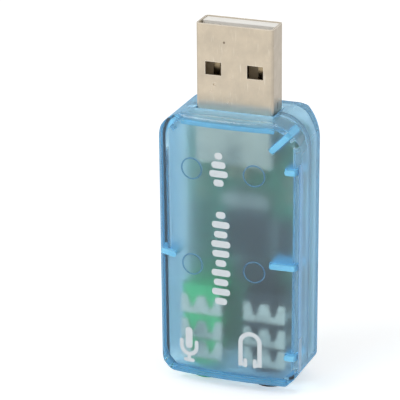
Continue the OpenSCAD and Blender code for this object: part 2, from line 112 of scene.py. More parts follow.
class SoundCardFinishes(bpy.types.PropertyGroup):
    """Colours of the finishes"""

    print_white: bpy.props.FloatVectorProperty(
        name="Print", description="Colour of the printed marks", subtype="COLOR",
        size=3, min=0.0, max=1.0, default=(0.72, 0.78, 0.82))
    nickel: bpy.props.FloatVectorProperty(
        name="Nickel", description="Colour of the plug's plated sheet", subtype="COLOR",
        size=3, min=0.0, max=1.0, default=(0.495, 0.43, 0.34))
    board_green: bpy.props.FloatVectorProperty(
        name="Board Lacquer", description="Colour of the board's lacquer", subtype="COLOR",
        size=3, min=0.0, max=1.0, default=(0.035, 0.22, 0.11))
    microphone_green: bpy.props.FloatVectorProperty(
        name="Microphone Socket", description="Colour of the microphone socket's plastic",
        subtype="COLOR", size=3, min=0.0, max=1.0, default=(0.04, 0.55, 0.16))
    headphone_black: bpy.props.FloatVectorProperty(
        name="Headphone Socket", description="Colour of the headphone socket's plastic",
        subtype="COLOR", size=3, min=0.0, max=1.0, default=(0.02, 0.02, 0.022))


# Small helpers for modelling

def take(piece):
    """Selects only this piece and makes it active."""
    bpy.ops.object.select_all(action="DESELECT")
    piece.select_set(True)
    bpy.context.view_layer.objects.active = piece


def merged_copy(node, name):
    """A copy of a CAD node with its loose triangles merged into one skin."""
    piece = NODES[node].copy()
    piece.data = NODES[node].data.copy()
    piece.name = name
    piece.data.name = name
    bpy.context.scene.collection.objects.link(piece)
    take(piece)
    bpy.ops.object.mode_set(mode="EDIT")
    bpy.ops.mesh.select_all(action="SELECT")
    bpy.ops.mesh.remove_doubles(threshold=0.004 * MM)
    bpy.ops.object.mode_set(mode="OBJECT")
    return piece


def pick(piece, kind, test):
    """Selects the vertices, edges or faces that pass the test, in edit mode."""
    bpy.ops.object.mode_set(mode="EDIT")
    bpy.ops.mesh.select_mode(type=kind)
    bpy.ops.mesh.select_all(action="DESELECT")
    bpy.ops.object.mode_set(mode="OBJECT")
    mesh = piece.data
    if kind == "VERT":
        for vertex in mesh.vertices:
            vertex.select = test(vertex.co)
    elif kind == "EDGE":
        for edge in mesh.edges:
            a, b = (mesh.vertices[i].co for i in edge.vertices)
            edge.select = test(a, b)
    else:
        for face in mesh.polygons:
            face.select = test(face.center, face.normal)
    bpy.ops.object.mode_set(mode="EDIT")


def settle(piece):
    """Leaves edit mode and applies the place, turn and scale to the mesh."""
    if piece.mode == "EDIT":
        bpy.ops.object.mode_set(mode="OBJECT")
    take(piece)
    bpy.ops.object.transform_apply(location=True, rotation=True, scale=True)


def smooth(piece, degrees=35.0, flat=0.3, rounder=None):
    """Smooths the rounded surfaces and keeps the flat ones flat. Edges that pass the
    rounder test are smoothed up to a wider angle."""
    take(piece)
    bpy.ops.object.mode_set(mode="EDIT")
    bpy.ops.mesh.select_all(action="SELECT")
    bpy.ops.mesh.dissolve_limited(angle_limit=math.radians(flat), delimit={"SHARP"})
    bpy.ops.object.mode_set(mode="OBJECT")
    bpy.ops.object.shade_smooth_by_angle(angle=math.radians(degrees), keep_sharp_edges=True)
    if rounder:
        pick(piece, "EDGE", rounder)
        bpy.ops.mesh.hide(unselected=True)
        bpy.ops.mesh.select_all(action="DESELECT")
        bpy.ops.mesh.edges_select_sharp(sharpness=math.radians(ROUNDED_UP_TO))
        bpy.ops.mesh.select_all(action="INVERT")
        bpy.ops.mesh.mark_sharp(clear=True)
        bpy.ops.mesh.reveal()
        bpy.ops.object.mode_set(mode="OBJECT")
    even = piece.modifiers.new("Even Normals", "WEIGHTED_NORMAL")
    even.keep_sharp = True
    even.weight = 80
    bpy.ops.object.modifier_apply(modifier=even.name)


def round_edges(piece, width, degrees=40.0, segments=2):
    """Rounds the piece's sharp edges with an applied bevel."""
    take(piece)
    bevel = piece.modifiers.new("Rounding", "BEVEL")
    bevel.width = width
    bevel.segments = segments
    bevel.limit_method = "ANGLE"
    bevel.angle_limit = math.radians(degrees)
    bevel.use_clamp_overlap = False
    bevel.miter_outer = "MITER_ARC"
    bpy.ops.object.modifier_apply(modifier=bevel.name)


def join(pieces, name):
    take(pieces[0])
    for piece in pieces[1:]:
        piece.select_set(True)
    bpy.ops.object.join()
    pieces[0].name = name
    pieces[0].data.name = name
    return pieces[0]


def dress(piece, material):
    piece.data.materials.clear()
    piece.data.materials.append(material)


def dress_node(node, material):
    for slot in NODES[node].material_slots:
        slot.material = material


# Helpers for materials

def new_material(name):
    material = bpy.data.materials.get(name) or bpy.data.materials.new(name)
    material.use_nodes = True
    material.node_tree.nodes.clear()
    return material, material.node_tree


def put(tree, kind, spot, values=None, **settings):
    """Adds a node at a spot, with its settings and its sockets' values."""
    node = tree.nodes.new(kind)
    node.location = spot
    for key, value in settings.items():
        setattr(node, key, value)
    for socket, value in (values or {}).items():
        node.inputs[socket].default_value = value
    return node


def wire(tree, source, target):
    tree.links.new(source, target)


def colour(rgb):
    return (rgb[0], rgb[1], rgb[2], 1.0)


def feed(tree, socket, value):
    """Wires another socket to this one, or sets a plain value on it."""
    if isinstance(value, bpy.types.NodeSocket):
        wire(tree, value, socket)
    else:
        socket.default_value = value


def reckon(tree, spot, operation, *values):
    """The result of a sum; each value may be a socket or a number."""
    node = put(tree, "ShaderNodeMath", spot, operation=operation)
    for socket, value in zip(node.inputs, values):
        feed(tree, socket, value)
    return node.outputs[0]


def ramp(tree, spot, source, start, end, low=0.0, high=1.0):
    """Turns a value from start to end into one from low to high."""
    node = put(tree, "ShaderNodeMapRange", spot,
               {"From Min": start, "From Max": end, "To Min": low, "To Max": high})
    wire(tree, source, node.inputs["Value"])
    return node.outputs["Result"]


def object_place(tree, spot):
    """The place on the object, whole and split into its three axes."""
    place = put(tree, "ShaderNodeTexCoord", spot)
    parts = put(tree, "ShaderNodeSeparateXYZ", (spot[0] + 200, spot[1]))
    wire(tree, place.outputs["Object"], parts.inputs[0])
    return place.outputs["Object"], parts.outputs


def use_group(tree, group, spot, values=None):
    return put(tree, "ShaderNodeGroup", spot, values, node_tree=group)


def new_group(name, inputs, outputs):
    group = bpy.data.node_groups.new(name, "ShaderNodeTree")
    for label, kind, default in inputs:
        socket = group.interface.new_socket(label, in_out="INPUT", socket_type=kind)
        socket.default_value = default
    for label, kind in outputs:
        group.interface.new_socket(label, in_out="OUTPUT", socket_type=kind)
    start = put(group, "NodeGroupInput", (-900, 0))
    end = put(group, "NodeGroupOutput", (700, 0))
    return group, start, end


def mottle_group():
    """Slow patches of a value, such as handling marks or uneven plating."""
    name = "Mottle"
    if name in bpy.data.node_groups:
        return bpy.data.node_groups[name]
    group, start, end = new_group(name, [
        ("Scale", "NodeSocketFloat", 300.0), ("Detail", "NodeSocketFloat", 4.0),
        ("Low", "NodeSocketFloat", 0.0), ("High", "NodeSocketFloat", 1.0)],
        [("Value", "NodeSocketFloat")])
    place = put(group, "ShaderNodeTexCoord", (-700, 200))
    noise = put(group, "ShaderNodeTexNoise", (-450, 200), {"Roughness": 0.6})
    spread = put(group, "ShaderNodeMapRange", (-150, 100), {"From Min": 0.3, "From Max": 0.7})
    wire(group, place.outputs["Object"], noise.inputs["Vector"])
    wire(group, start.outputs["Scale"], noise.inputs["Scale"])
    wire(group, start.outputs["Detail"], noise.inputs["Detail"])
    wire(group, noise.outputs["Fac"], spread.inputs["Value"])
    wire(group, start.outputs["Low"], spread.inputs["To Min"])
    wire(group, start.outputs["High"], spread.inputs["To Max"])
    wire(group, spread.outputs["Result"], end.inputs["Value"])
    return group


def scratch_group():
    """Thin straight marks in two directions, as handling leaves on plated sheet."""
    name = "Fine Scratches"
    if name in bpy.data.node_groups:
        return bpy.data.node_groups[name]
    group, start, end = new_group(name, [
        ("Scale", "NodeSocketFloat", 500.0), ("Amount", "NodeSocketFloat", 0.5)],
        [("Mask", "NodeSocketFloat")])
    place = put(group, "ShaderNodeTexCoord", (-900, 300))
    lines = []
    for number, (turn, stretch) in enumerate(((0.5, 14.0), (-0.35, 11.0))):
        shift = put(group, "ShaderNodeMapping", (-700, 300 - 300 * number),
                    {"Rotation": (0.0, turn, 0.0), "Scale": (stretch, stretch, 1.0)})
        noise = put(group, "ShaderNodeTexNoise", (-480, 300 - 300 * number),
                    {"Detail": 2.0, "Roughness": 0.5})
        wire(group, place.outputs["Object"], shift.inputs["Vector"])
        wire(group, shift.outputs["Vector"], noise.inputs["Vector"])
        wire(group, start.outputs["Scale"], noise.inputs["Scale"])
        lines.append(ramp(group, (-250, 300 - 300 * number), noise.outputs["Fac"], 0.66, 0.78))
    total = reckon(group, (0, 100), "MAXIMUM", *lines)
    scaled = reckon(group, (300, 100), "MULTIPLY", total, start.outputs["Amount"])
    wire(group, scaled, end.inputs["Mask"])
    return group


def edge_wear_and_highlight_group():
    """A mask that is bright along outer edges, where a finish wears first; in the clear plastic it
    places a painted highlight.
    """
    name = "Edge Wear"
    if name in bpy.data.node_groups:
        return bpy.data.node_groups[name]
    group, start, end = new_group(name, [
        ("Radius", "NodeSocketFloat", 0.0002), ("Amount", "NodeSocketFloat", 1.0)],
        [("Mask", "NodeSocketFloat")])
    rounded = put(group, "ShaderNodeBevel", (-600, 200), samples=4)
    plain = put(group, "ShaderNodeNewGeometry", (-600, -50))
    dot = put(group, "ShaderNodeVectorMath", (-350, 100), operation="DOT_PRODUCT")
    wire(group, start.outputs["Radius"], rounded.inputs["Radius"])
    wire(group, rounded.outputs["Normal"], dot.inputs[0])
    wire(group, plain.outputs["Normal"], dot.inputs[1])
    edge = ramp(group, (-100, 100), dot.outputs["Value"], 0.99, 0.85)
    scaled = reckon(group, (200, 100), "MULTIPLY", edge, start.outputs["Amount"])
    wire(group, scaled, end.inputs["Mask"])
    return group


def principled(tree, spot, values, tone, rough, normal):
    """The shader of an ordinary surface, wired up to the material's output."""
    shader = put(tree, "ShaderNodeBsdfPrincipled", spot, values)
    out = put(tree, "ShaderNodeOutputMaterial", (spot[0] + 300, spot[1]))
    wire(tree, tone, shader.inputs["Base Color"])
    wire(tree, rough, shader.inputs["Roughness"])
    wire(tree, normal, shader.inputs["Normal"])
    wire(tree, shader.outputs["BSDF"], out.inputs["Surface"])


def blend_colour(tree, spot, factor, first, second):
    """Mixes two colours; each may be a socket or a plain colour."""
    mix = put(tree, "ShaderNodeMix", spot, data_type="RGBA")
    for socket, value in ((mix.inputs["Factor"], factor), (mix.inputs[6], first),
                          (mix.inputs[7], second)):
        feed(tree, socket, value)
    return mix.outputs[2]


def mix_shaders(tree, spot, factor, first, second):
    node = put(tree, "ShaderNodeMixShader", spot)
    for socket, value in zip(node.inputs, (factor, first, second)):
        feed(tree, socket, value)
    return node.outputs[0]


def bump(tree, spot, height, strength, distance):
    node = put(tree, "ShaderNodeBump", spot, {"Strength": strength, "Distance": distance})
    wire(tree, height, node.inputs["Height"])
    return node.outputs["Normal"]


# Materials

def clear_blue_plastic(name, painted_light_blue, steep_from, steep_most):
    """Tinted clear plastic: glossy outside, hazy on the inside of its walls, with painted light on
    steep faces and a painted highlight on sharp edges.
    """
    material, tree = new_material(name)
    inside = put(tree, "ShaderNodeAttribute", (-900, 200), attribute_name="inner_face")
    haze = ramp(tree, (-600, 200), inside.outputs["Fac"], 0.0, 1.0, 0.04, 0.5)
    patches = use_group(tree, mottle_group(), (-900, -100),
                        {"Scale": 120.0, "Low": -0.02, "High": 0.03})
    rough = reckon(tree, (-350, 150), "ADD", haze, patches.outputs["Value"])
    ripple = use_group(tree, mottle_group(), (-900, -350), {"Scale": 260.0, "Detail": 2.0})
    shader = put(tree, "ShaderNodeBsdfPrincipled", (0, 200), {
        "Base Color": (0.80, 0.93, 0.99, 1.0), "IOR": 1.5, "Transmission Weight": 0.995,
        "Specular IOR Level": 0.3})
    wire(tree, rough, shader.inputs["Roughness"])
    wire(tree, bump(tree, (-350, -200), ripple.outputs["Value"], 0.25, 0.02 * MM),
         shader.inputs["Normal"])
    # Painted light: steep faces turn a bright, cloudy blue, and sharp edges a pale white-blue
    # painted highlight, in place of the light that the clear walls gather
    slope = put(tree, "ShaderNodeLayerWeight", (-900, 900), {"Blend": 0.5})
    steep_painted_light = ramp(tree, (-600, 900), slope.outputs["Facing"], steep_from, 0.9, high=steep_most)
    edges = use_group(tree, edge_wear_and_highlight_group(), (-900, 650), {"Radius": 0.18 * MM, "Amount": 0.75})
    glow = reckon(tree, (-350, 800), "MAXIMUM", steep_painted_light, edges.outputs["Mask"])
    tone = blend_colour(tree, (-550, 500), edges.outputs["Mask"],
                        colour(painted_light_blue), (0.72, 0.92, 1.0, 1.0))
    near = put(tree, "ShaderNodeBsdfDiffuse", (-350, 600))
    through = put(tree, "ShaderNodeBsdfTranslucent", (-350, 450))
    wire(tree, tone, near.inputs["Color"])
    wire(tree, tone, through.inputs["Color"])
    painted_light_share = mix_shaders(tree, (-100, 550), 0.5, near.outputs[0], through.outputs[0])
    body = mix_shaders(tree, (150, 400), glow, shader.outputs["BSDF"], painted_light_share)
    # Light that falls through casts a pale shadow
    path = put(tree, "ShaderNodeLightPath", (0, 700))
    clear = put(tree, "ShaderNodeBsdfTransparent", (0, -250), {"Color": (0.92, 0.98, 1.0, 1.0)})
    whole = mix_shaders(tree, (350, 200), path.outputs["Is Shadow Ray"], body,
                        clear.outputs["BSDF"])
    tint = put(tree, "ShaderNodeVolumeAbsorption", (350, -100), {
        "Color": (0.05, 0.65, 0.862, 1.0), "Density": 130.0})
    out = put(tree, "ShaderNodeOutputMaterial", (650, 100))
    wire(tree, whole, out.inputs["Surface"])
    wire(tree, tint.outputs["Volume"], out.inputs["Volume"])
    return material


def blue_stand_in_plastic(name, first, second, clear):
    """Cloudy, bright blue plastic for pieces inside the clear housing; in the ribs and the wall
    strips it is painted light, in place of the light that the clear plastic carries edge-on.
    """
    material, tree = new_material(name)
    cloud = use_group(tree, mottle_group(), (-700, 200), {"Scale": 500.0, "Detail": 3.0})
    tone = blend_colour(tree, (-400, 200), cloud.outputs["Value"],
                        colour(first), colour(second))
    gloss = use_group(tree, mottle_group(), (-700, -50),
                      {"Scale": 700.0, "Low": 0.3, "High": 0.45})
    principled(tree, (0, 200), {"IOR": 1.5, "Transmission Weight": clear},
               tone, gloss.outputs["Value"],
               bump(tree, (-250, -150), cloud.outputs["Value"], 0.2, 0.01 * MM))
    return material


def nickel_plated_sheet(base):
    """Warm, slightly uneven nickel with fine marks and brighter worn edges, and painted shade in a
    band over the housing, on its narrow sides, in its hollow and at a dent and a slit.
    """
    material, tree = new_material("nickel_plated_sheet")
    patches = use_group(tree, mottle_group(), (-900, 400), {"Scale": 420.0, "Detail": 6.0})
    marks = use_group(tree, scratch_group(), (-900, 0), {"Scale": 420.0, "Amount": 0.6})
    edges = use_group(tree, edge_wear_and_highlight_group(), (-900, -200), {"Radius": 0.18 * MM, "Amount": 0.7})
    place, parts = object_place(tree, (-1200, 650))
    across = reckon(tree, (-950, 900), "ABSOLUTE", parts["X"])
    depth = reckon(tree, (-950, 1150), "ABSOLUTE", parts["Y"])
    warm = blend_colour(tree, (-500, 400), patches.outputs["Value"],
                        colour(base), colour([c * f for c, f in zip(base, (1.20, 1.19, 1.17))]))

    # Painted shade and reflection: a grey band over the housing and darker narrow sides; another
    # tone inside the housing
    painted_shade_band = reckon(tree, (-750, 600), "MULTIPLY",
                  ramp(tree, (-950, 650), parts["Z"], *SHADE_BAND_TOP, high=0.85),
                  ramp(tree, (-950, 500), parts["Z"], *BAND_FOOT))
    tone = blend_colour(tree, (-320, 500), painted_shade_band, warm, (0.56, 0.52, 0.45, 1.0))
    sunk = ramp(tree, (-750, 400), parts["Z"], BAND_FOOT[1], BAND_FOOT[0])
    tone = blend_colour(tree, (-200, 650), sunk, tone, (0.60, 0.50, 0.40, 1.0))
    side = ramp(tree, (-750, 900), across, *SIDE_SHADE_EDGE, high=0.55)
    tone = blend_colour(tree, (-140, 500), side, tone, (0.33, 0.29, 0.24, 1.0))

    # Painted shade: the inside of the plug is dark
    half_width, half_thickness, top = HOLLOW_SHADE_BOUNDS
    hollow_shade_footprint = reckon(tree, (-550, 1200), "MULTIPLY",
                    reckon(tree, (-750, 1150), "LESS_THAN", depth, half_thickness),
                    reckon(tree, (-750, 1300), "LESS_THAN", across, half_width))
    inside = reckon(tree, (-350, 1200), "MULTIPLY", hollow_shade_footprint,
                    reckon(tree, (-750, 1450), "LESS_THAN", parts["Z"], top))
    tone = blend_colour(tree, (-50, 700), inside, tone, (0.30, 0.25, 0.17, 1.0))
    tone = blend_colour(tree, (40, 400), marks.outputs["Mask"], tone, (0.74, 0.68, 0.58, 1.0))
    tone = blend_colour(tree, (220, 400), edges.outputs["Mask"], tone, (0.82, 0.77, 0.68, 1.0))
    # Painted shade at the dent and the slit
    for centre, size in PAINTED_SHADE_SPOTS:
        offset = put(tree, "ShaderNodeVectorMath", (100, 800), {1: centre}, operation="SUBTRACT")
        ratio = put(tree, "ShaderNodeVectorMath", (250, 800), {1: size}, operation="DIVIDE")
        away = put(tree, "ShaderNodeVectorMath", (400, 800), operation="LENGTH")
        wire(tree, place, offset.inputs[0])
        wire(tree, offset.outputs[0], ratio.inputs[0])
        wire(tree, ratio.outputs[0], away.inputs[0])
        spot = ramp(tree, (550, 800), away.outputs["Value"], 1.1, 0.7)
        tone = blend_colour(tree, (700, 700), spot, tone, (0.20, 0.16, 0.12, 1.0))
    rough = use_group(tree, mottle_group(), (0, 0), {"Scale": 700.0, "Low": 0.26, "High": 0.4})
    principled(tree, (950, 300), {"Metallic": 1.0}, tone, rough.outputs["Value"],
               bump(tree, (250, -100), marks.outputs["Mask"], 0.2, 0.01 * MM))
    return material


def painted_shade_below(tree, top, bottom, above, below):
    """A colour that turns into another between two heights, used as painted shade deeper inside
    the plug.
    """
    _, parts = object_place(tree, (-900, 900))
    depth = ramp(tree, (-500, 900), parts["Z"], top, bottom)
    return blend_colour(tree, (-100, 700), depth, above, below)


def moulded_plastic(name, base, low, high, variation=0.12, deep=None):
    """Opaque moulded plastic with a fine spark-eroded grain and uneven gloss, and with deep,
    painted shade below a height.
    """
    material, tree = new_material(name)
    patches = use_group(tree, mottle_group(), (-700, 300), {"Scale": 240.0})
    tone = blend_colour(tree, (-400, 300), patches.outputs["Value"],
                        colour([c * (1.0 - variation) for c in base]),
                        colour([min(1.0, c * (1.0 + variation)) for c in base]))
    if deep:
        tone = painted_shade_below(tree, deep[0], deep[1], tone, colour(deep[2]))
    gloss = use_group(tree, mottle_group(), (-700, 50),
                      {"Scale": 500.0, "Low": low, "High": high})
    skin = use_group(tree, mottle_group(), (-700, -200), {"Scale": 1800.0, "Detail": 6.0})
    principled(tree, (0, 200), {"IOR": 1.5}, tone, gloss.outputs["Value"],
               bump(tree, (-300, -150), skin.outputs["Value"], 0.4, 0.012 * MM))
    return material


def plated_metal(name, base, low, high, wear, deep=None):
    """Thin plated metal with uneven gloss and bright edges, and with deep, painted shade below a
    height.
    """
    material, tree = new_material(name)
    patches = use_group(tree, mottle_group(), (-700, 300), {"Scale": 600.0})
    tone = blend_colour(tree, (-400, 300), patches.outputs["Value"],
                        colour([c * 0.86 for c in base]), colour(base))
    edges = use_group(tree, edge_wear_and_highlight_group(), (-700, 550), {"Radius": 0.08 * MM, "Amount": 0.8})
    worn = blend_colour(tree, (-200, 400), edges.outputs["Mask"], tone, colour(wear))
    if deep:
        worn = painted_shade_below(tree, deep[0], deep[1], worn, colour(deep[2]))
    gloss = use_group(tree, mottle_group(), (-700, 50),
                      {"Scale": 1200.0, "Low": low, "High": high})
    principled(tree, (100, 200), {"Metallic": 1.0}, worn, gloss.outputs["Value"],
               bump(tree, (-200, -100), patches.outputs["Value"], 0.15, 0.01 * MM))
    return material


def green_board(base):
    """Green lacquer over copper tracks, with bare tinned rings at the holes."""
    material, tree = new_material("green_board")
    place = put(tree, "ShaderNodeTexCoord", (-1300, 200))
    tracks = put(tree, "ShaderNodeTexBrick", (-1000, 400), {
        "Scale": 260.0, "Mortar Size": 0.012, "Mortar Smooth": 0.2, "Brick Width": 0.9,
        "Row Height": 0.32, "Color1": (0, 0, 0, 1), "Color2": (0.25, 0.25, 0.25, 1),
        "Mortar": (1, 1, 1, 1)})
    flat = put(tree, "ShaderNodeMapping", (-1150, 400),
               {"Rotation": (math.radians(90), 0.0, 0.0)})
    wire(tree, place.outputs["Object"], flat.inputs["Vector"])
    wire(tree, flat.outputs["Vector"], tracks.inputs["Vector"])
    holes = put(tree, "ShaderNodeTexVoronoi", (-1000, 0), {"Scale": 420.0, "Randomness": 0.8})
    wire(tree, place.outputs["Object"], holes.inputs["Vector"])
    ring = ramp(tree, (-750, 0), holes.outputs["Distance"], 0.16, 0.12)
    weave = use_group(tree, mottle_group(), (-1000, -250), {"Scale": 900.0, "Detail": 5.0})
    lacquer = blend_colour(tree, (-600, 300), weave.outputs["Value"],
                           colour([c * 0.85 for c in base]), colour([c * 1.1 for c in base]))
    copper = blend_colour(tree, (-400, 300), tracks.outputs["Fac"], lacquer,
                          colour([min(1.0, c * 1.9) for c in base]))
    bare = blend_colour(tree, (-200, 300), ring, copper, (0.55, 0.56, 0.52, 1.0))
    gloss = use_group(tree, mottle_group(), (-200, 0),
                      {"Scale": 800.0, "Low": 0.28, "High": 0.42})
    principled(tree, (200, 200), {"IOR": 1.5, "Coat Weight": 0.25, "Coat Roughness": 0.2},
               bare, gloss.outputs["Value"],
               bump(tree, (-50, -200), tracks.outputs["Fac"], 0.3, 0.03 * MM))
    return material


def white_print(base):
    """Screen-printed ink: matt, a little thin in places."""
    material, tree = new_material("white_print")
    thin = use_group(tree, mottle_group(), (-700, 200), {"Scale": 1500.0, "Detail": 6.0})
    tone = blend_colour(tree, (-400, 200), thin.outputs["Value"],
                        colour([c * 0.93 for c in base]), colour(base))
    gloss = use_group(tree, mottle_group(), (-700, -50),
                      {"Scale": 900.0, "Low": 0.45, "High": 0.6})
    principled(tree, (0, 200), {"IOR": 1.45}, tone, gloss.outputs["Value"],
               bump(tree, (-250, -150), thin.outputs["Value"], 0.2, 0.01 * MM))
    return material


# Operators: one for each piece or group of like pieces

def mark_inner_faces(piece, tolerance):
    """Writes an attribute that is 1 on faces that don't lie on the outermost skin."""
    mesh = piece.data
    corners = [v.co for v in mesh.vertices]
    reach = {}
    values = []
    for face in mesh.polygons:
        n = face.normal
        key = (round(n.x, 2), round(n.y, 2), round(n.z, 2))
        if key not in reach:
            axis = Vector(key).normalized() if any(key) else Vector((0, 0, 1))
            reach[key] = (axis, max(axis.dot(c) for c in corners))
        axis, far = reach[key]
        values.append(0.0 if axis.dot(face.center) > far - tolerance else 1.0)
    layer = mesh.attributes.new("inner_face", "FLOAT", "FACE")
    layer.data.foreach_set("value", values)


class SOUNDCARD_OT_housing(bpy.types.Operator):
    """Makes the two see-through halves of the housing"""
    bl_idname = "soundcard.housing"
    bl_label = "Housing"
    bl_options = {"REGISTER", "UNDO"}

    def execute(self, context):
        # Each half's blue for its painted light, and where on its steep faces that painted light
        # starts and how strong it gets
        front = clear_blue_plastic("clear_blue_plastic", (0.20, 0.60, 0.92), 0.4, 0.66)
        rear = clear_blue_plastic("clear_blue_plastic_rear", (0.22, 0.57, 0.86), 0.35, 0.74)
        for node, name, material in (("front_shell", "housing_front", front),
                                     ("rear_shell", "housing_rear", rear)):
            piece = merged_copy(node, name)
            smooth(piece, 14.0, flat=1.0, rounder=lambda a, b: min(a.z, b.z) > SHOULDER_Z)
            mark_inner_faces(piece, 0.3 * MM)
            dress(piece, material)
            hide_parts(node)
            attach(piece, "root")
        return {"FINISHED"}


def rib_core(name, inner, outer, z, thickness, tilt=0.0, pivot=None):
    """A bright plate inside a rib as painted light, with a rounded free end, between two
    distances from the middle. A tilted one turns about the pivot, as the ribs in the shoulders do."""
    front, rear = -4.95 * MM, -1.08 * MM
    bpy.ops.mesh.primitive_cube_add(
        size=1.0, location=((inner + outer) / 2, (front + rear) / 2, z))
    piece = bpy.context.object
    piece.name = name
    piece.scale = (outer - inner, rear - front, thickness)
    settle(piece)
    free = min(inner, outer, key=abs)
    pick(piece, "EDGE", lambda a, b: abs(a.x - free) < 1e-6 and abs(b.x - free) < 1e-6
         and abs(a.z - b.z) < 1e-6)
    bpy.ops.mesh.bevel(offset=thickness * 0.47, segments=6)
    if tilt:
        bpy.ops.mesh.select_all(action="SELECT")
        bpy.ops.transform.rotate(value=tilt, orient_axis="Y", center_override=pivot)
    bpy.ops.object.mode_set(mode="OBJECT")
    return piece


class SOUNDCARD_OT_ribs(bpy.types.Operator):
    """Makes bright cores in the housing's ribs, painted light in place of the light the clear ribs
    carry
    """
    bl_idname = "soundcard.ribs"
    bl_label = "Rib Cores"
    bl_options = {"REGISTER", "UNDO"}

    def execute(self, context):
        cores = []
        for z, reach in RIGHT_RIBS:
            cores.append(rib_core("rib", INNER_WALL_X - reach * MM + 0.07 * MM,
                                  INNER_WALL_X + 0.35 * MM, z * MM, RIB_THICKNESS))
        cores.append(rib_core("rib", -INNER_WALL_X + 1.75 * MM, -INNER_WALL_X - 0.75 * MM,
                              LEFT_RIB_Z, RIB_THICKNESS, math.radians(-10),
                              (-INNER_WALL_X, 0.0, LEFT_RIB_Z)))
        outer = SHOULDER_PIVOT[0] + SHOULDER_REACH
        cores.append(rib_core("rib", outer - 3.93 * MM, outer - 0.25 * MM, SHOULDER_PIVOT[2],
                              RIB_THICKNESS, math.radians(45), SHOULDER_PIVOT))
        piece = join(cores, "rib_cores")
        smooth(piece, 40.0)
        # Painted light: the cores are a lit, bright blue
        dress(piece, blue_stand_in_plastic("rib_blue_plastic", (0.24, 0.68, 0.93),
                                        (0.32, 0.76, 0.97), 0.15))
        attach(piece, "root")

        # The outlines of the four round pads
        rings = []
        for x, z in PAD_CENTRES:
            bulge = FRONT_BULGE_R - math.sqrt(FRONT_BULGE_R ** 2 - (x * MM) ** 2)
            bpy.ops.mesh.primitive_torus_add(
                location=(x * MM, -4.86 * MM + bulge, z * MM),
                rotation=(math.radians(90), 0.0, math.asin(x * MM / FRONT_BULGE_R)),
                major_radius=1.6 * MM, minor_radius=0.11 * MM,
                major_segments=48, minor_segments=8)
            ring = context.object
            settle(ring)
            rings.append(ring)
        outlines = join(rings, "pad_outlines")
        smooth(outlines, 60.0)
        dress(outlines, blue_stand_in_plastic("pad_blue_plastic", (0.22, 0.46, 0.66),
                                           (0.27, 0.52, 0.72), 0.7))
        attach(outlines, "root")
        return {"FINISHED"}


class SOUNDCARD_OT_walls(bpy.types.Operator):
    """Makes bright cloudy strips in the housing's bottom and top walls, painted light where the
    walls are seen edge-on
    """
    bl_idname = "soundcard.walls"
    bl_label = "Wall Strips"
    bl_options = {"REGISTER", "UNDO"}

    def execute(self, context):
        # Plates that follow the bulge of the front, a little behind it
        front = -5.6 * MM
        for name, half, z, high, deep, tones, clear in WALL_STRIPS:
            bpy.ops.mesh.primitive_grid_add(
                x_subdivisions=12, y_subdivisions=1, size=1.0,
                location=(0.0, front + deep / 2 * MM, (z - high / 2) * MM))
            strip = context.object
            strip.name = name
            strip.data.name = name
            strip.scale = (2 * half * MM, deep * MM, 1.0)
            settle(strip)
            bpy.ops.object.mode_set(mode="EDIT")
            bpy.ops.mesh.select_all(action="SELECT")
            bpy.ops.mesh.extrude_region_move(
                TRANSFORM_OT_translate={"value": (0.0, 0.0, high * MM)})
            bpy.ops.mesh.select_all(action="SELECT")
            bpy.ops.mesh.normals_make_consistent(inside=False)
            bpy.ops.object.mode_set(mode="OBJECT")
            follow_bulge(strip)
            round_edges(strip, 0.12 * MM)
            smooth(strip, 40.0)
            dress(strip, blue_stand_in_plastic(name + "_plastic", *tones, clear))
            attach(strip, "root")

        # Upright strips in the front corners of the side walls, a painted highlight along those
        # corners
        corners = []
        for side in (-1, 1):
            bpy.ops.mesh.primitive_cube_add(
                size=1.0, location=(side * 10.83 * MM, -3.75 * MM, 20.5 * MM))
            corner = context.object
            corner.scale = (0.22 * MM, 1.3 * MM, 33.0 * MM)
            settle(corner)
            round_edges(corner, 0.07 * MM)
            corners.append(corner)
        uprights = join(corners, "side_strips")
        smooth(uprights, 40.0)
        dress(uprights, blue_stand_in_plastic("side_strip_plastic", (0.36, 0.60, 0.82),
                                           (0.44, 0.68, 0.88), 0.4))
        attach(uprights, "root")
        return {"FINISHED"}


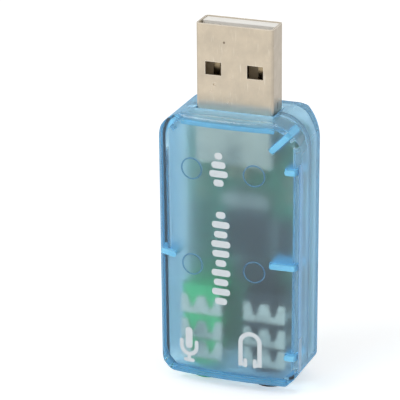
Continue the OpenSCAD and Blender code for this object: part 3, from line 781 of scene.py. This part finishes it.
def stroke(name, start, steps, width, y, thickness, round_ends=True):
    """A flat printed line of even width that starts at a point and follows lines and arcs."""
    first = Vector(steps[0][1:])
    middle = Vector(start) + first / 2
    bpy.ops.mesh.primitive_plane_add(
        size=1.0, location=(middle.x, y, middle.y),
        rotation=(math.radians(90), math.atan2(first.x, first.y), 0.0))
    piece = bpy.context.object
    piece.name = name
    piece.scale = (width, first.length, 1.0)
    settle(piece)
    end = Vector(start) + first
    pick(piece, "EDGE", lambda a, b: (((a + b) / 2).xz - end).length < 1e-6)
    for step in steps[1:]:
        if step[0] == "line":
            bpy.ops.mesh.extrude_region_move(
                TRANSFORM_OT_translate={"value": (step[1], 0.0, step[2])})
        else:
            _, centre_x, centre_z, degrees = step
            bpy.ops.mesh.spin(steps=max(4, int(abs(degrees) / 9)), angle=math.radians(degrees),
                              center=(centre_x, y, centre_z), axis=(0.0, 1.0, 0.0))
    bpy.ops.mesh.select_all(action="SELECT")
    bpy.ops.mesh.remove_doubles(threshold=1e-6)
    bpy.ops.object.mode_set(mode="OBJECT")
    if round_ends:
        corners = [v for v in piece.data.vertices
                   if sum(v.index in e.vertices for e in piece.data.edges) == 2]
        spots = [v.co.copy() for v in corners]
        pick(piece, "VERT", lambda c: any((c - s).length < 1e-7 for s in spots))
        bpy.ops.mesh.bevel(offset=width * 0.44, segments=5, affect="VERTICES")
    bpy.ops.object.mode_set(mode="EDIT")
    bpy.ops.mesh.select_all(action="SELECT")
    bpy.ops.mesh.extrude_region_move(
        TRANSFORM_OT_translate={"value": (0.0, -thickness, 0.0)})
    bpy.ops.mesh.select_all(action="SELECT")
    bpy.ops.mesh.normals_make_consistent(inside=False)
    bpy.ops.object.mode_set(mode="OBJECT")
    return piece


def follow_bulge(piece):
    """Lays a flat print on the front face, which bulges gently across its width."""
    for vertex in piece.data.vertices:
        x = vertex.co.x
        vertex.co.y += FRONT_BULGE_R - math.sqrt(FRONT_BULGE_R ** 2 - x * x)


class SOUNDCARD_OT_marks(bpy.types.Operator):
    """Prints the level motif and the two socket marks on the front"""
    bl_idname = "soundcard.marks"
    bl_label = "Printed Marks"
    bl_options = {"REGISTER", "UNDO"}

    def execute(self, context):
        sizes = context.scene.sound_card_sizes
        finishes = context.scene.sound_card_finishes
        material = white_print(finishes.print_white)
        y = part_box("front_shell")[0][1] - 0.002 * MM

        def ink(name, x, z, steps, width, round_ends=True):
            return stroke(name, (x * MM, z * MM), steps, width, y, sizes.print_thickness,
                          round_ends)

        # The motif is a column of level bars, with a smaller group above it
        bars = []
        for x, low, pitch, lengths in BAR_GROUPS:
            for number, long in enumerate(lengths):
                bars.append(ink("bar", x - long / 2, low + number * pitch,
                                [("line", long * MM, 0.0)], sizes.bar_width))
        levels_mark = join(bars, "level_bars")

        # Microphone: capsule, bracket, stem and foot
        mx = MICROPHONE_X
        microphone = join([
            ink("capsule", mx, 6.0, [("line", 0.0, 3.4 * MM)], 1.15 * MM),
            ink("bracket", mx - 1.25, 7.4,
                [("line", 0.0, -1.1 * MM), ("arc", mx * MM, 6.3 * MM, 180.0),
                 ("line", 0.0, 1.1 * MM)], 0.62 * MM),
            ink("stem", mx, 4.9, [("line", 0.0, -0.6 * MM)], 0.6 * MM, False),
            ink("foot", mx - 0.9, 4.05, [("line", 1.8 * MM, 0.0)], 0.6 * MM),
        ], "microphone_mark")

        # Headphones: an arch with two small ear pads turned inward
        hx = HEADPHONES_X
        headphones = join([
            ink("arch", hx - 1.48, 4.55,
                [("line", 0.0, 3.75 * MM), ("arc", hx * MM, 8.3 * MM, -180.0),
                 ("line", 0.0, -3.75 * MM)], 0.68 * MM, False),
            ink("foot_left", hx - 1.82, 4.75, [("line", 1.2 * MM, 0.0)], 0.55 * MM, False),
            ink("foot_right", hx + 1.82, 4.75, [("line", -1.2 * MM, 0.0)], 0.55 * MM, False),
            ink("pad_left", hx - 0.74, 4.3, [("line", 0.0, 1.45 * MM)], 0.6 * MM),
            ink("pad_right", hx + 0.74, 4.3, [("line", 0.0, 1.45 * MM)], 0.6 * MM),
        ], "headphone_mark")

        for piece in (levels_mark, microphone, headphones):
            follow_bulge(piece)
            dress(piece, material)
            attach(piece, "root")
        return {"FINISHED"}


class SOUNDCARD_OT_plug(bpy.types.Operator):
    """Finishes the plug, its insulator and its contacts"""
    bl_idname = "soundcard.plug"
    bl_label = "Plug"
    bl_options = {"REGISTER", "UNDO"}

    def execute(self, context):
        finishes = context.scene.sound_card_finishes
        sleeve = merged_copy("plug_shroud", "plug_sleeve")
        smooth(sleeve, 35.0)
        dress(sleeve, nickel_plated_sheet(finishes.nickel))
        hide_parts("plug_shroud")
        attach(sleeve, "root")

        # The insulator's end stands almost level with the mouth of the plug
        tongue = merged_copy("plug_tongue", "insulator")
        end = max(v.co.z for v in tongue.data.vertices)
        pick(tongue, "VERT", lambda c: c.z > end - 0.05 * MM)
        bpy.ops.transform.translate(value=(0.0, 0.0, 0.38 * MM))
        bpy.ops.object.mode_set(mode="OBJECT")
        smooth(tongue, 35.0)
        # Painted shade: deeper inside the plug the insulator turns brown
        dress(tongue, moulded_plastic(
            "white_plastic", (0.93, 0.91, 0.86), 0.35, 0.5, variation=0.03,
            deep=(54.6 * MM, 53.6 * MM, (0.46, 0.36, 0.23))))
        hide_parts("plug_tongue")
        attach(tongue, "root")
        # Painted shade: deeper inside the plug the contacts turn dull brown
        gold = plated_metal("gold_contact", (0.83, 0.62, 0.27), 0.18, 0.3, (0.95, 0.8, 0.45),
                            deep=(54.0 * MM, 52.8 * MM, (0.34, 0.27, 0.17)))
        for node in ("power_contact", "data_minus_contact", "data_plus_contact", "ground_contact"):
            dress_node(node, gold)
        return {"FINISHED"}


class SOUNDCARD_OT_board(bpy.types.Operator):
    """Finishes the circuit board and the components on it"""
    bl_idname = "soundcard.board"
    bl_label = "Board and Components"
    bl_options = {"REGISTER", "UNDO"}

    def execute(self, context):
        finishes = context.scene.sound_card_finishes
        dress_node("circuit_board", green_board(finishes.board_green))
        dress_node("audio_chip", moulded_plastic("black_moulding", (0.028, 0.03, 0.034), 0.4, 0.6))
        tin = plated_metal("tinned_metal", (0.72, 0.72, 0.71), 0.22, 0.38, (0.86, 0.86, 0.85))
        dress_node("chip_leads", tin)
        dress_node("solder_joints", tin)
        dress_node("clock_crystal", plated_metal("can_metal", (0.46, 0.42, 0.37), 0.3, 0.42,
                                                 (0.62, 0.58, 0.52)))
        dark = moulded_plastic("dark_component", (0.045, 0.045, 0.05), 0.35, 0.5)
        dress_node("moulded_capacitors", dark)
        dress_node("chip_resistors", dark)
        dress_node("chip_capacitors", moulded_plastic("tan_ceramic", (0.46, 0.33, 0.2), 0.3, 0.45))
        return {"FINISHED"}


class SOUNDCARD_OT_sockets(bpy.types.Operator):
    """Finishes the two sockets and their spring clips"""
    bl_idname = "soundcard.sockets"
    bl_label = "Sockets"
    bl_options = {"REGISTER", "UNDO"}

    def execute(self, context):
        finishes = context.scene.sound_card_finishes
        dress_node("microphone_jack", moulded_plastic(
            "green_plastic", finishes.microphone_green, 0.3, 0.45))
        dress_node("headphone_jack", moulded_plastic(
            "black_plastic", finishes.headphone_black, 0.28, 0.42))
        clip = plated_metal("clip_metal", (0.74, 0.64, 0.54), 0.28, 0.42, (0.84, 0.76, 0.66))
        for socket in ("microphone", "headphone"):
            for contact in ("sleeve", "ring", "tip"):
                dress_node(f"{socket}_{contact}_contact", clip)
        return {"FINISHED"}


# Camera, as found from the photograph: turn, tilt and roll in degrees, distance in metres

CAMERA_TURN = 21.26
CAMERA_TILT = 20.65
CAMERA_ROLL = -0.50
CAMERA_DISTANCE = 0.380
FOCAL_PIXELS = 2609.3
PHOTO_SIDE = 400
PLUG_TIP_PIXEL = (239.27, 22.41)
SENSOR_WIDTH = 36.0

# Light: the world's strength, and the floor's own glow where it is seen directly, with
# more of it where it is seen through the housing
WORLD_LIGHT = 0.62
FLOOR_GLOW = 0.42
FLOOR_GLOW_THROUGH = 0.28
LAMPS_AIM = (0.0, 0.0, 0.03)


def aim_camera(camera):
    turn, tilt, roll = (math.radians(a) for a in (CAMERA_TURN, CAMERA_TILT, CAMERA_ROLL))
    right = Vector((math.cos(turn), math.sin(turn), 0.0))
    back = Vector((math.sin(turn) * math.cos(tilt), -math.cos(turn) * math.cos(tilt),
                   math.sin(tilt)))
    up = back.cross(right)
    c, s = math.cos(roll), math.sin(roll)
    axes = Matrix((c * right + s * up, c * up - s * right, back)).transposed()
    middle = PHOTO_SIDE / 2
    shift = Vector(((middle - PLUG_TIP_PIXEL[0]) / FOCAL_PIXELS * CAMERA_DISTANCE,
                    (PLUG_TIP_PIXEL[1] - middle) / FOCAL_PIXELS * CAMERA_DISTANCE,
                    CAMERA_DISTANCE))
    tip = Vector((0.0, 0.0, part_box("plug_shroud")[1][2]))
    camera.matrix_world = Matrix.Translation(tip + axes @ shift) @ axes.to_4x4()


def seen_directly(tree, spot):
    """1 for camera, mirror and see-through rays, 0 for rays that carry light."""
    path = put(tree, "ShaderNodeLightPath", spot)
    first = reckon(tree, (spot[0] + 200, spot[1]), "MAXIMUM",
                   path.outputs["Is Camera Ray"], path.outputs["Is Glossy Ray"])
    return reckon(tree, (spot[0] + 400, spot[1]), "MAXIMUM",
                  first, path.outputs["Is Transmission Ray"])


def add_lamp(name, spot, aim, size, power, tint):
    bpy.ops.object.light_add(type="AREA", location=spot)
    lamp = bpy.context.object
    lamp.name = name
    lamp.data.shape = "SQUARE"
    lamp.data.size = size
    lamp.data.energy = power
    lamp.data.color = tint
    lamp.rotation_euler = (Vector(aim) - Vector(spot)).to_track_quat("-Z", "Y").to_euler()


class SOUNDCARD_OT_stage(bpy.types.Operator):
    """Sets up the pale floor, the soft lamps, the world and the camera"""
    bl_idname = "soundcard.stage"
    bl_label = "Stage"
    bl_options = {"REGISTER", "UNDO"}

    def execute(self, context):
        bpy.ops.mesh.primitive_plane_add(size=4.0, location=(0.0, 0.0, 0.0))
        floor = context.object
        floor.name = "floor"
        material, tree = new_material("studio_floor")
        seen = seen_directly(tree, (-900, 400))
        tone = use_group(tree, mottle_group(), (-700, 0),
                         {"Scale": 6.0, "Low": 0.84, "High": 0.86})
        matt = put(tree, "ShaderNodeBsdfDiffuse", (0, 100))
        wire(tree, tone.outputs["Value"], matt.inputs["Color"])
        glow = put(tree, "ShaderNodeEmission", (0, -100), {"Color": WHITE})
        level = reckon(tree, (-400, -100), "MULTIPLY", seen, FLOOR_GLOW)
        path = put(tree, "ShaderNodeLightPath", (-600, -300))
        extra = reckon(tree, (-200, -200), "MULTIPLY_ADD",
                       path.outputs["Is Transmission Ray"], FLOOR_GLOW_THROUGH, level)
        wire(tree, extra, glow.inputs["Strength"])
        both = put(tree, "ShaderNodeAddShader", (250, 0))
        wire(tree, matt.outputs[0], both.inputs[0])
        wire(tree, glow.outputs[0], both.inputs[1])
        out = put(tree, "ShaderNodeOutputMaterial", (450, 0))
        wire(tree, both.outputs[0], out.inputs["Surface"])
        dress(floor, material)

        world = bpy.data.worlds.new("studio")
        context.scene.world = world
        world.use_nodes = True
        tree = world.node_tree
        tree.nodes.clear()
        seen = seen_directly(tree, (-900, 200))
        level = ramp(tree, (-300, 200), seen, 0.0, 1.0, WORLD_LIGHT, 1.0)
        air = put(tree, "ShaderNodeBackground", (0, 200), {"Color": WHITE})
        wire(tree, level, air.inputs["Strength"])
        out = put(tree, "ShaderNodeOutputWorld", (250, 200))
        wire(tree, air.outputs[0], out.inputs["Surface"])

        add_lamp("key", (-0.35, -0.45, 0.55), LAMPS_AIM, 0.35, 1.6, (1.0, 0.99, 0.97))
        add_lamp("fill", (0.5, -0.35, 0.35), LAMPS_AIM, 0.4, 0.7, (0.97, 0.99, 1.0))

        bpy.ops.object.camera_add()
        camera = context.object
        camera.name = "photo_camera"
        camera.data.sensor_width = SENSOR_WIDTH
        camera.data.sensor_fit = "HORIZONTAL"
        camera.data.lens = FOCAL_PIXELS / PHOTO_SIDE * SENSOR_WIDTH
        camera.data.clip_start = 0.01
        camera.data.clip_end = 20.0
        camera.data.dof.use_dof = False
        aim_camera(camera)
        context.scene.camera = camera
        context.scene.view_settings.view_transform = "Standard"
        return {"FINISHED"}


class SOUNDCARD_PT_panel(bpy.types.Panel):
    """Lists the sound card's steps"""
    bl_label = "Sound Card"
    bl_idname = "SOUNDCARD_PT_panel"
    bl_space_type = "VIEW_3D"
    bl_region_type = "UI"
    bl_category = "Sound Card"

    def draw(self, context):
        layout = self.layout
        for step in OPERATORS:
            layout.operator(step.bl_idname)
        for group in (context.scene.sound_card_sizes, context.scene.sound_card_finishes):
            for key in group.__annotations__:
                layout.prop(group, key)


OPERATORS = (SOUNDCARD_OT_stage, SOUNDCARD_OT_housing, SOUNDCARD_OT_ribs, SOUNDCARD_OT_walls,
             SOUNDCARD_OT_marks, SOUNDCARD_OT_plug, SOUNDCARD_OT_board, SOUNDCARD_OT_sockets)
CLASSES = (SoundCardSizes, SoundCardFinishes) + OPERATORS + (SOUNDCARD_PT_panel,)


def register():
    for item in CLASSES:
        bpy.utils.register_class(item)
    bpy.types.Scene.sound_card_sizes = bpy.props.PointerProperty(type=SoundCardSizes)
    bpy.types.Scene.sound_card_finishes = bpy.props.PointerProperty(type=SoundCardFinishes)


def unregister():
    del bpy.types.Scene.sound_card_finishes
    del bpy.types.Scene.sound_card_sizes
    for item in reversed(CLASSES):
        bpy.utils.unregister_class(item)


def plain(box):
    return [[float(v) for v in corner] for corner in box]


def main():
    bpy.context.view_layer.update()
    register()
    bpy.ops.soundcard.stage()
    bpy.ops.soundcard.housing()
    bpy.ops.soundcard.ribs()
    bpy.ops.soundcard.walls()
    bpy.ops.soundcard.marks()
    bpy.ops.soundcard.plug()
    bpy.ops.soundcard.board()
    bpy.ops.soundcard.sockets()
    bpy.context.view_layer.update()


if __name__ == "__main__":
    main()
